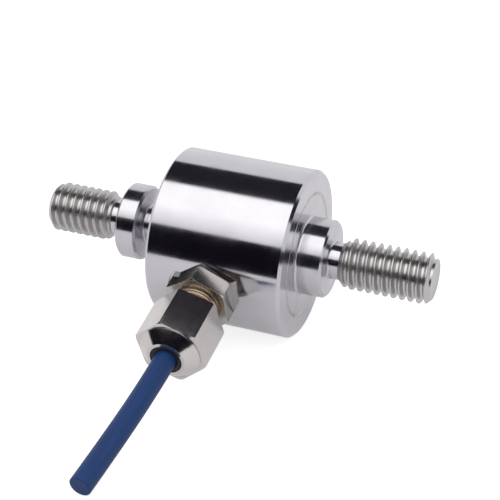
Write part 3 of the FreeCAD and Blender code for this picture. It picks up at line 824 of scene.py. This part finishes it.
def along_line(points, radius):
    """Rings square to a line of points, without twist from one to the next."""
    side = Vector((1, 0, 0))
    rings = []
    for k, point in enumerate(points):
        ahead = points[min(k + 1, len(points) - 1)] - points[max(k - 1, 0)]
        ahead.normalize()
        side = (side - ahead * side.dot(ahead)).normalized()
        up = ahead.cross(side)
        turns = [2 * math.pi * j / CABLE_SIDES for j in range(CABLE_SIDES)]
        rings.append([point + (side * math.cos(turn) + up * math.sin(turn)) * radius
                      for turn in turns])
    return rings


def hose(name, points, hollow, outside, inside, lip):
    """A tube along a line, hollow as far as a second line goes, with softened ends."""
    rings = along_line(points, outside)
    if len(hollow) < len(points):
        rings += [[points[-1]] * CABLE_SIDES, [hollow[-1]] * CABLE_SIDES]
    rings += reversed(along_line(hollow, inside))
    pipe = add_piece(name, ring_mesh(name, rings, Matrix.Identity(4), True))
    return soften_edges(pipe, lip, 4, 40)


class BuildCable(bpy.types.Operator):
    """Blue cable with its screen; the cores inside it are the solid model's own"""

    bl_idname = "load_cell.cable"
    bl_label = "Cable"

    def execute(self, context):
        s = sizes()
        points = cable_line()
        outside = s.cable_diameter / 2
        under = outside - JACKET_WALL
        hollow = [point for point in points if (points[-1] - point).length > END_SEAL]
        jacket = hose("cable_jacket_tube", points, hollow, outside, under, JACKET_LIP)
        dress(jacket, "cable_jacket", jacket_material())
        screen = hose("cable_screen_braid", hollow, hollow, under, under - SCREEN_WALL, SCREEN_LIP)
        dress(screen, "cable_shield", braid("tinned_braid", GLAND))
        return {"FINISHED"}


# Two close colours, roughness, grain per millimetre, depth of the grain, metallic.
INNER_FINISHES = {
    "gauge_foil": ((0.60, 0.33, 0.10), (0.72, 0.45, 0.18), 0.35, 6.0, 0.004, 0.0),
    "board_laminate": ((0.03, 0.16, 0.06), (0.04, 0.20, 0.08), 0.45, 4.0, 0.01, 0.0),
    "chip_ceramic": ((0.03, 0.03, 0.035), (0.06, 0.06, 0.065), 0.40, 7.0, 0.01, 0.0),
    "solder": ((0.55, 0.55, 0.56), (0.68, 0.68, 0.70), 0.28, 6.0, 0.01, 1.0),
    "copper": ((0.72, 0.33, 0.20), (0.80, 0.42, 0.27), 0.30, 5.0, 0.004, 1.0),
    "potting_resin": ((0.02, 0.02, 0.022), (0.035, 0.033, 0.03), 0.50, 3.0, 0.01, 0.0),
    "red_insulation": ((0.45, 0.02, 0.02), (0.55, 0.03, 0.03), 0.42, 5.0, 0.01, 0.0),
    "black_insulation": ((0.012, 0.012, 0.014), (0.02, 0.02, 0.022), 0.42, 5.0, 0.01, 0.0),
    "green_insulation": ((0.02, 0.22, 0.06), (0.03, 0.28, 0.08), 0.42, 5.0, 0.01, 0.0),
    "white_insulation": ((0.72, 0.72, 0.70), (0.80, 0.80, 0.78), 0.42, 5.0, 0.01, 0.0),
}

INNER_PIECES = {
    "strain_gauge_1": "gauge_foil", "strain_gauge_2": "gauge_foil",
    "strain_gauge_3": "gauge_foil", "strain_gauge_4": "gauge_foil",
    "terminal_board": "board_laminate", "balance_resistor": "chip_ceramic",
    "span_resistor_1": "chip_ceramic", "span_resistor_2": "chip_ceramic",
    "solder_joints": "solder", "gauge_wires": "copper", "copper_conductors": "copper",
    "potting_plug": "potting_resin", "core_red": "red_insulation",
    "core_black": "black_insulation", "core_green": "green_insulation",
    "core_white": "white_insulation",
}


class FinishInnerPieces(bpy.types.Operator):
    """Gauges, board, wiring and clamp ring that the solid model already has right"""

    bl_idname = "load_cell.inner_pieces"
    bl_label = "Inner pieces"

    def execute(self, context):
        made = {name: plastic(name, CELL, *values) for name, values in INNER_FINISHES.items()}
        for node, finish in INNER_PIECES.items():
            self.paint(node, made[finish])
        self.paint("clamp_ring", bpy.data.materials["nickel_plate"])
        return {"FINISHED"}

    def paint(self, node, material):
        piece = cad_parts[node]
        if not piece.material_slots:
            piece.data.materials.append(material)
        for place in piece.material_slots:
            place.material = material


# Stage

def stage_plane(name, corners, material):
    mesh = bpy.data.meshes.new(name)
    mesh.from_pydata(corners, [], [list(range(len(corners)))])
    mesh.materials.append(material)
    plane = bpy.data.objects.new(name, mesh)
    bpy.context.scene.collection.objects.link(plane)
    return plane


def card(name, low, high, width, grey):
    """A flat card that only reflections see; its edges are given as (y, z) from the load axis."""
    corners = [(side * width / 2, CENTRE.y + y, CENTRE.z + z)
               for (y, z), side in ((low, -1), (low, 1), (high, 1), (high, -1))]
    material, n, shader = new_material(name)
    shader.inputs["Base Color"].default_value = (0, 0, 0, 1)
    shader.inputs["Specular IOR Level"].default_value = 0.0
    shader.inputs["Emission Color"].default_value = (*grey, 1.0)
    shader.inputs["Emission Strength"].default_value = 1.0
    plane = stage_plane(name, corners, material)
    plane.visible_camera = False
    plane.visible_diffuse = False
    plane.visible_shadow = False


def seen_by(n, kinds):
    """One for rays of the kinds named, zero for the others."""
    path = n.add("ShaderNodeLightPath").outputs
    value = path[kinds[0]]
    for kind in kinds[1:]:
        value = n.math("MAXIMUM", value, path[kind])
    return value


class BuildStage(bpy.types.Operator):
    """Pale floor, soft lamps, reflector cards and the camera"""

    bl_idname = "load_cell.stage"
    bl_label = "Studio"

    def execute(self, context):
        self.floor()
        self.lights()
        self.camera()
        context.scene.view_settings.view_transform = "Standard"
        return {"FINISHED"}

    def floor(self):
        """Matt floor that keeps a faint shadow and is nearly white to the camera."""
        material = bpy.data.materials.new("pale_floor")
        material.use_nodes = True
        tree = material.node_tree
        tree.nodes.clear()
        n = Nodes(tree)
        matt = n.add("ShaderNodeBsdfDiffuse")
        matt.inputs["Color"].default_value = (0.62, 0.61, 0.62, 1)
        glow = n.add("ShaderNodeEmission")
        seen = n.math("MULTIPLY", seen_by(n, ["Is Camera Ray"]), 0.74)
        mirrored = n.math("MULTIPLY", seen_by(n, ["Is Glossy Ray"]), 0.33)
        n.feed(glow.inputs["Strength"], n.math("ADD", seen, mirrored))
        both = n.add("ShaderNodeAddShader")
        n.feed(both.inputs[0], matt.outputs[0])
        n.feed(both.inputs[1], glow.outputs[0])
        n.feed(n.add("ShaderNodeOutputMaterial").inputs["Surface"], both.outputs[0])
        corners = [(x, y, FLOOR) for x, y in ((-4, -4), (4, -4), (4, 4), (-4, 4))]
        stage_plane("floor", corners, material)

    def lights(self):
        """White all round, one softbox that fades downwards, and two cards for dark bands."""
        world = bpy.data.worlds.new("studio")
        bpy.context.scene.world = world
        world.use_nodes = True
        n = Nodes(world.node_tree)
        background = world.node_tree.nodes["Background"]
        seen = seen_by(n, ["Is Camera Ray", "Is Glossy Ray", "Is Transmission Ray"])
        n.feed(background.inputs["Color"], (1.0, 1.0, 1.0, 1.0))
        n.feed(background.inputs["Strength"], spread(n, seen, 0.0, 1.0, 0.76, 1.0))

        data = bpy.data.lights.new("softbox", "AREA")
        data.shape = "RECTANGLE"
        data.size = 0.90
        data.size_y = 0.47
        data.energy = 1.10
        data.color = (1.0, 0.985, 0.92)
        data.use_nodes = True
        n = Nodes(data.node_tree)
        height = n.split(n.add("ShaderNodeNewGeometry").outputs["Parametric"])[1]
        n.feed(data.node_tree.nodes["Emission"].inputs["Strength"],
               spread(n, height, 0.04, 0.46, 0.12, 1.0))
        lamp = bpy.data.objects.new("softbox", data)
        bpy.context.scene.collection.objects.link(lamp)
        angle = math.radians(61)
        place = Vector((0, -math.cos(angle), math.sin(angle))) * 0.4
        lamp.location = CENTRE + place
        lamp.rotation_euler = place.to_track_quat("Z", "Y").to_euler()
        lamp.visible_camera = False
        card("dark_front", (-0.071, -0.0095), (-0.30, 0.184), 1.6, (0.007, 0.006, 0.010))
        card("dark_back", (0.110, 0.129), (-0.0028, 0.035), 1.2, (0.024, 0.023, 0.029))

    def camera(self):
        """Camera of the picture, placed in the cell's own frame."""
        data = bpy.data.cameras.new("camera")
        data.lens = 108.24
        data.sensor_width = 36.0
        data.clip_start = 0.001
        data.clip_end = 20.0
        camera = bpy.data.objects.new("camera", data)
        bpy.context.scene.collection.objects.link(camera)
        right = Vector((0.93727, 0.34492, -0.05060))
        up = Vector((-0.18833, 0.62314, 0.75910))
        back = Vector((0.29336, -0.70195, 0.64900))
        turn = Matrix((right, up, back)).transposed().to_4x4()
        place = Matrix.Translation(Vector((53.411, -125.337, 114.805)) * MM)
        camera.matrix_world = CELL @ place @ turn
        bpy.context.scene.camera = camera


class LoadCellPanel(bpy.types.Panel):
    """Sizes, finishes and building steps of the load cell"""

    bl_idname = "VIEW3D_PT_load_cell"
    bl_label = "Load cell"
    bl_space_type = "VIEW_3D"
    bl_region_type = "UI"
    bl_category = "Load cell"

    def draw(self, context):
        layout = self.layout
        for group in (context.scene.load_cell_sizes, context.scene.load_cell_finishes):
            column = layout.column(align=True)
            for name in group.__annotations__:
                column.prop(group, name)
        for step in STEPS:
            layout.operator(step.bl_idname)


STEPS = [BuildLoadElement, BuildHousing, BuildGland, BuildCable, FinishInnerPieces, BuildStage]
CLASSES = [LoadCellSizes, LoadCellFinishes, *STEPS, LoadCellPanel]


def register():
    for item in CLASSES:
        bpy.utils.register_class(item)
    bpy.types.Scene.load_cell_sizes = PointerProperty(type=LoadCellSizes)
    bpy.types.Scene.load_cell_finishes = PointerProperty(type=LoadCellFinishes)


def unregister():
    del bpy.types.Scene.load_cell_finishes
    del bpy.types.Scene.load_cell_sizes
    for item in reversed(CLASSES):
        bpy.utils.unregister_class(item)


def main():
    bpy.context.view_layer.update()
    register()
    for step in STEPS:
        group, name = step.bl_idname.split(".")
        getattr(getattr(bpy.ops, group), name)()


if __name__ == "__main__":
    main()
